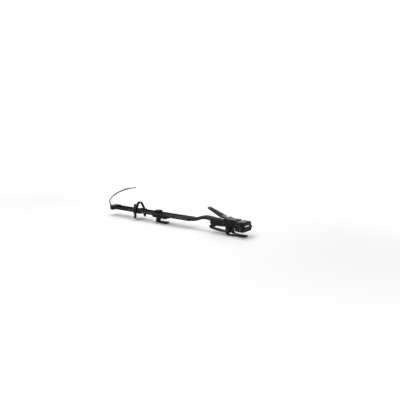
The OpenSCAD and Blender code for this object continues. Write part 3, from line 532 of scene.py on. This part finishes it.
carry("torque_lever", black_nylon, 2.4, 3)
carry("lever_pin", dark_zinc, 0.5)
soft_grip = moulded("moulded_soft_grip", "#191919", "#212121", 0.6, 1.4)
carry("lever_grip", soft_grip, 0.8)
bars = []
for i in range(7):
    bar_x, bar_half = -78 - 11 * i, 14.5 - 0.9 * i
    bars.append(block("bar", (bar_x, -bar_half, 6), (bar_x + 3.5, bar_half, 7.6)))
dress(on_lever(ease(joined("lever_grip_bars", bars), 0.7)), soft_grip, "torque_lever", "grey_plastic")
ribs = [block("rib", (-150, side * 11 - 1.6, -7.4), (-40, side * 11 + 1.6, -4)) for side, _ in near_far]
ribs += [block("web", (-52 - 18 * i, -10.5, -6.6), (-50 - 18 * i, 10.5, -4)) for i in range(6)]
dress(on_lever(ease(joined("lever_ribs", ribs), 0.7)), black_nylon, "torque_lever", "black_plastic")
carry("clamp_rod", dark_zinc, 0.5)

# Front clamp: a pressed steel claw, powder coated, drawn up by a nylon cam lever that folds under the head.
# The claw's tongue has a bead pressed along it, and the lever's arm has ribs inside and finger ridges below.
powder = moulded("black_powder_coat", "#131313", "#1c1c1c", 0.42, 1.8, 0.4)
carry("bar_claw", powder, 0.9)
bead = [(-4, 0.3), (-3.4, -0.6), (-2, -1.2), (2, -1.2), (3.4, -0.6), (4, 0.3)]
tongue_low = -38
press = outline("claw_bead", [(-44, y, tongue_low + z) for y, z in bead], (66, 0, 0))
dress(ease(press, 0.4), powder, "claw", "black_steel")
carry("claw_pad", rubber, 0.6)
carry("cam_lever", black_nylon, 2, 3)
arm_half, arm_t = 19, 6.5
arm_line = [(-136, -23.75), (-186, -19.75), (-234, -13.75)]
rib_low, rib_high, rib_wide = arm_t / 2 - 1, arm_t / 2 + 2, 3
inside = []
for (x0, z0), (x1, z1) in zip(arm_line, arm_line[1:]):
    for middle in (-13, 0, 13):
        y = middle - rib_wide / 2
        rib_line = [(x0, y, z0 + rib_low), (x1, y, z1 + rib_low),
                    (x1, y, z1 + rib_high), (x0, y, z0 + rib_high)]
        inside.append(outline("rib", rib_line, (0, rib_wide, 0)))
dress(ease(joined("cam_lever_ribs", inside), 0.6), black_nylon, "cam_lever", "black_plastic")


def rod(name, x, z, r, half):
    return outline(name, [(a, -half, b) for a, b in round_off(x, z, r, 0, 330, 30)], (0, 2 * half, 0))


slope = math.atan2(arm_line[2][1] - arm_line[1][1], arm_line[1][0] - arm_line[2][0])
ridges = []
for i in range(7):
    along = 6 + 5 * i
    x = arm_line[1][0] - along * math.cos(slope) - arm_t / 2 * math.sin(slope)
    z = arm_line[1][1] + along * math.sin(slope) - arm_t / 2 * math.cos(slope)
    ridges.append(rod("ridge", x, z, 1.3, arm_half - 4))
dress(ease(joined("cam_lever_ridges", ridges), 0.3, 1, 60), black_nylon, "cam_lever", "black_plastic")
carry("cam_pin", dark_zinc, 0.7)

# Rear foot: a nylon saddle that slides under the tray, with a rubber pad, a steel claw below and ribs down
# each cheek. The bolt is bright steel, threaded where it shows between the saddle and the claw.
carry("rear_foot", black_nylon, 1.2)
carry("rear_pad", rubber, 0.5)
carry("rear_claw", powder, 0.9)
press = outline("rear_claw_bead", [(-736, y, tongue_low + z) for y, z in bead], (62, 0, 0))
dress(ease(press, 0.4), powder, "rear_claw", "black_steel")
carry("rear_claw_pad", rubber, 0.6)
cheek = 46
cheeks = [block("rib", (x, side * cheek - 0.8, 10), (x + 4, side * cheek + 1, 29))
          for side, _ in near_far for x in range(-771, -655, 14)]
dress(ease(joined("rear_foot_ribs", cheeks), 0.7), black_nylon, "rear_foot", "black_plastic")
bolt_x = -756
carry("rear_bolt", bright_zinc, 0.6)
pitch, thread_low, threads = 1.5, -5.8, 6
crests = [(5.45 if i % 2 else 4.9, thread_low + i * pitch / 2) for i in range(2 * threads + 1)]
thread = [(0, thread_low)] + crests + [(0, crests[-1][1])]
dress(turned("rear_bolt_thread", thread, (bolt_x, 0, 0)), bright_zinc, "rear_knob", "zinc_steel")
carry("knob_washer", bright_zinc, 0.4)

# Hand knob: a four-lobed nylon star over a brass insert, with a rounded crown, a plain cap in its middle and
# a skirt down to the washer.
star_low, star_h = 35.5, 20
star_r, lobe, flank, star_points = 22.6, 8.4, 0.6, 96
star = []
for i in range(star_points):
    a = 2 * math.pi * i / star_points
    reach = star_r + lobe * math.cos(4 * a + math.pi) - flank * math.cos(8 * a)
    star.append((bolt_x + reach * math.cos(a), reach * math.sin(a), star_low))
knob = ease(outline("knob_star", star, (0, 0, star_h)), 3, 4, 50)
neck_line = [(5.4, 17.6), (11.2, 17.6), (12, 18.4), (12, 30), (13.5, 36), (5.4, 36), (5.4, 17.6)]
skirt = turned("knob_skirt", neck_line, (bolt_x, 0, 0))
dress(joined("hand_knob", [knob, skirt]), black_nylon, "rear_knob", "black_plastic", "rear_knob")
crown = turned("knob_cap", [(0, 54.8), (9.4, 54.8), (9.4, 55.9), (8.6, 56.6), (0, 57)], (bolt_x, 0, 0))
dress(crown, grey_nylon, "rear_knob", "grey_plastic")

# Wheel strap: a moulded elastomer ladder strap that runs up out of a nylon cradle on the tray and over in a
# crown, with a ribbed soft pad inside the crown. Beads stiffen its edges, and low rungs cross between them.
strap_x, strap_lean = -957, 30
strap_half, strap_t, crown_r, crown_z = 12.5, 3, 24, 73.5
knee = (53, 29.7)
side_len = 64.4
elastomer = moulded("moulded_strap_elastomer", "#131313", "#1b1b1b", 0.52, 1.4)
carry("wheel_strap", elastomer, 0.5)


def over_crown(r):
    turns = [math.radians(a) for a in range(-60, 61, 10)]
    return [(r * math.sin(a), crown_z + r * math.cos(a)) for a in turns]


def down_side(d):
    lean = math.radians(strap_lean)
    return [(knee[0] + d * math.cos(lean) - s * math.sin(lean),
             knee[1] + d * math.sin(lean) + s * math.cos(lean)) for s in (side_len - 4, 12)]


skin, bead_wide = strap_t / 2, 2.4
beads = []
for x in (strap_x - strap_half, strap_x + strap_half - bead_wide):
    outer = over_crown(crown_r + skin + 0.8) + down_side(skin + 0.8)
    inner = over_crown(crown_r + skin - 0.4) + down_side(skin - 0.4)
    beads.append(outline("bead", [(x, y, z) for y, z in outer + inner[::-1]], (bead_wide, 0, 0)))
dress(ease(joined("strap_beads", beads), 0.4, 2, 45), elastomer, "strap", "strap_rubber")
rungs = [placed(block("rung", (-9, -1, crown_r + skin - 0.4), (9, 1, crown_r + skin + 0.6)), "rung",
                (strap_x, 0, crown_z), (turn, 0, 0)) for turn in range(-50, 51, 10)]
dress(ease(joined("strap_rungs", rungs), 0.4), elastomer, "strap", "strap_rubber")
carry("rim_pad", rubber, 0.8)
pad_r = 18.4
pad_ribs = [placed(block("rib", (-14, -0.9, pad_r - 0.8), (14, 0.9, pad_r + 0.5)), "rib",
                   (strap_x, 0, crown_z), (turn, 0, 0)) for turn in range(-40, 41, 10)]
dress(ease(joined("rim_pad_ribs", pad_ribs), 0.4), rubber, "strap", "seat_rubber")
carry("strap_rivets", dark_zinc, 0.4)
carry("strap_cradle", black_nylon, 1)
ear_y, wing_y, wing_top = 58.7, 42, 40.3
ear_ribs = [block("rib", (strap_x + x - 1.1, side * ear_y - 0.5, 14),
                  (strap_x + x + 1.1, side * ear_y + 0.8, 26))
            for side, _ in near_far for x in (-13.5, -9, -4.5, 0, 4.5, 9, 13.5)]
ear_ribs += [block("rib", (strap_x + x - 1, side * wing_y - 4, wing_top - 0.4),
                   (strap_x + x + 1, side * wing_y + 4, wing_top + 0.7))
             for side, _ in near_far for x in (-29, -25, -21, 21, 25, 29)]
dress(ease(joined("cradle_ribs", ear_ribs), 0.4), black_nylon, "strap", "black_plastic")


# Buckle: a nylon body riveted to the strap and a ratchet lever on a steel pin with a domed head at each end.
# The lever has ridges for the thumb and a raised border.
def on_side(piece, side):
    return placed(piece, piece.name, (strap_x, side * knee[0], knee[1]), (side * strap_lean, 0, 0))


carry("buckle_body", black_nylon, 0.8)
carry("buckle_lever", grey_nylon, 0.9)
carry("buckle_pin", dark_zinc, 0.4)
lever_face, lever_half = -18.5, 14.7
thumb = [block("ridge", (-10.5, lever_face - 0.9, 7 + 3.4 * i), (10.5, lever_face + 0.5, 8.6 + 3.4 * i))
         for i in range(5)]
dress(on_side(ease(joined("buckle_thumb_ridges", thumb), 0.5), -1), grey_nylon, "buckle", "grey_plastic")
border_x = lever_half - 1.6
border = [block("border", (side * border_x - 1.2, lever_face - 0.8, 6),
                (side * border_x + 1.2, lever_face + 0.5, 42)) for side, _ in near_far]
dress(on_side(ease(joined("buckle_lever_border", border), 0.5), -1), grey_nylon, "buckle", "grey_plastic")
pin_at, pin_end = (-13, 46), 18
dome = [(0, -0.4), (3.9, -0.4), (3.9, 0.4), (3.2, 1.2), (1.6, 1.7), (0, 1.8)]
domes = [turned("dome", dome, (side * pin_end, *pin_at), (0, 90 * side, 0), 24) for side, _ in near_far]
dress(on_side(joined("buckle_pin_heads", domes), -1), dark_zinc, "strap", "dark_steel")


# Stage: a plain pale floor under the claws that fades to white away from the object, and soft boxes over and
# beside it. Only camera, glossy and transmitted rays see the white.
def seen_rays(tree):
    ray = fit(tree, "ShaderNodeLightPath", {})
    clear = fit(tree, "ShaderNodeMath", {0: ray.outputs["Is Glossy Ray"],
                                         1: ray.outputs["Is Transmission Ray"]}, operation="MAXIMUM")
    seen = fit(tree, "ShaderNodeMath", {0: ray.outputs["Is Camera Ray"], 1: clear.outputs["Value"]},
               operation="MAXIMUM")
    return seen.outputs["Value"]


floor_z = cad_box[0][2]
bpy.ops.object.select_all(action="DESELECT")
bpy.ops.mesh.primitive_plane_add(size=80, location=(0, 0, floor_z - 0.0002))
floor = settle("floor")
paint, tree, place = new_finish("pale_floor")
away = fit(tree, "ShaderNodeMapping", {"Vector": place.outputs["Object"], "Location": (0.33, 0, 0),
                                       "Scale": (0.5, 1, 1)})
reach = fit(tree, "ShaderNodeVectorMath", {0: away.outputs["Vector"]}, operation="LENGTH")
fade = fit(tree, "ShaderNodeMapRange", {"Value": reach.outputs["Value"], "From Min": 0.15, "From Max": 1.3},
           interpolation_type="SMOOTHSTEP")
share = fit(tree, "ShaderNodeMath", {0: seen_rays(tree), 1: fade.outputs["Result"]}, operation="MULTIPLY")
matt = fit(tree, "ShaderNodeBsdfPrincipled", {"Base Color": linear("#ececeb"), "Roughness": 0.9})
glow = fit(tree, "ShaderNodeEmission", {"Color": linear("#ffffff"), "Strength": 1})
blend = fit(tree, "ShaderNodeMixShader", {0: share.outputs["Value"], 1: matt.outputs["BSDF"],
                                          2: glow.outputs["Emission"]})
fit(tree, "ShaderNodeOutputMaterial", {"Surface": blend.outputs["Shader"]})
floor.data.materials.append(paint)

world = bpy.data.worlds.new("pale_room")
bpy.context.scene.world = world
world.use_nodes = True
tree = world.node_tree
tree.nodes.clear()
sky = fit(tree, "ShaderNodeTexCoord", {})
height = fit(tree, "ShaderNodeSeparateXYZ", {"Vector": sky.outputs["Generated"]})
level = fit(tree, "ShaderNodeMapRange", {"Value": height.outputs["Z"], "From Min": 0.1, "From Max": 0.9,
                                         "To Min": 0.2, "To Max": 0.75})
room = fit(tree, "ShaderNodeBackground", {"Color": linear("#e6e6e6"), "Strength": level.outputs["Result"]})
backdrop = fit(tree, "ShaderNodeBackground", {"Color": linear("#ffffff"), "Strength": 1})
blend = fit(tree, "ShaderNodeMixShader", {0: seen_rays(tree), 1: room.outputs["Background"],
                                          2: backdrop.outputs["Background"]})
fit(tree, "ShaderNodeOutputWorld", {"Surface": blend.outputs["Shader"]})

for name, place, aim, size, power in (
        ("key_box", (-0.5, -2.6, 2.6), (-0.5, 0, 0), 2.2, 52),
        ("top_box", (-1.1, 0.2, 2.3), (-0.6, 0, 0), 1.8, 32),
        ("back_box", (-1.6, 2.6, 1.6), (-0.5, 0, 0), 1.8, 28)):
    bpy.ops.object.light_add(type="AREA", location=place)
    lamp = bpy.context.object
    lamp.name = name
    lamp.data.size = size
    lamp.data.energy = power
    way = [a - p for a, p in zip(aim, place)]
    lamp.rotation_euler = (math.atan2(math.hypot(way[0], way[1]), -way[2]), 0,
                           math.atan2(way[1], way[0]) - math.pi / 2)

bpy.context.scene.view_settings.view_transform = "Standard"
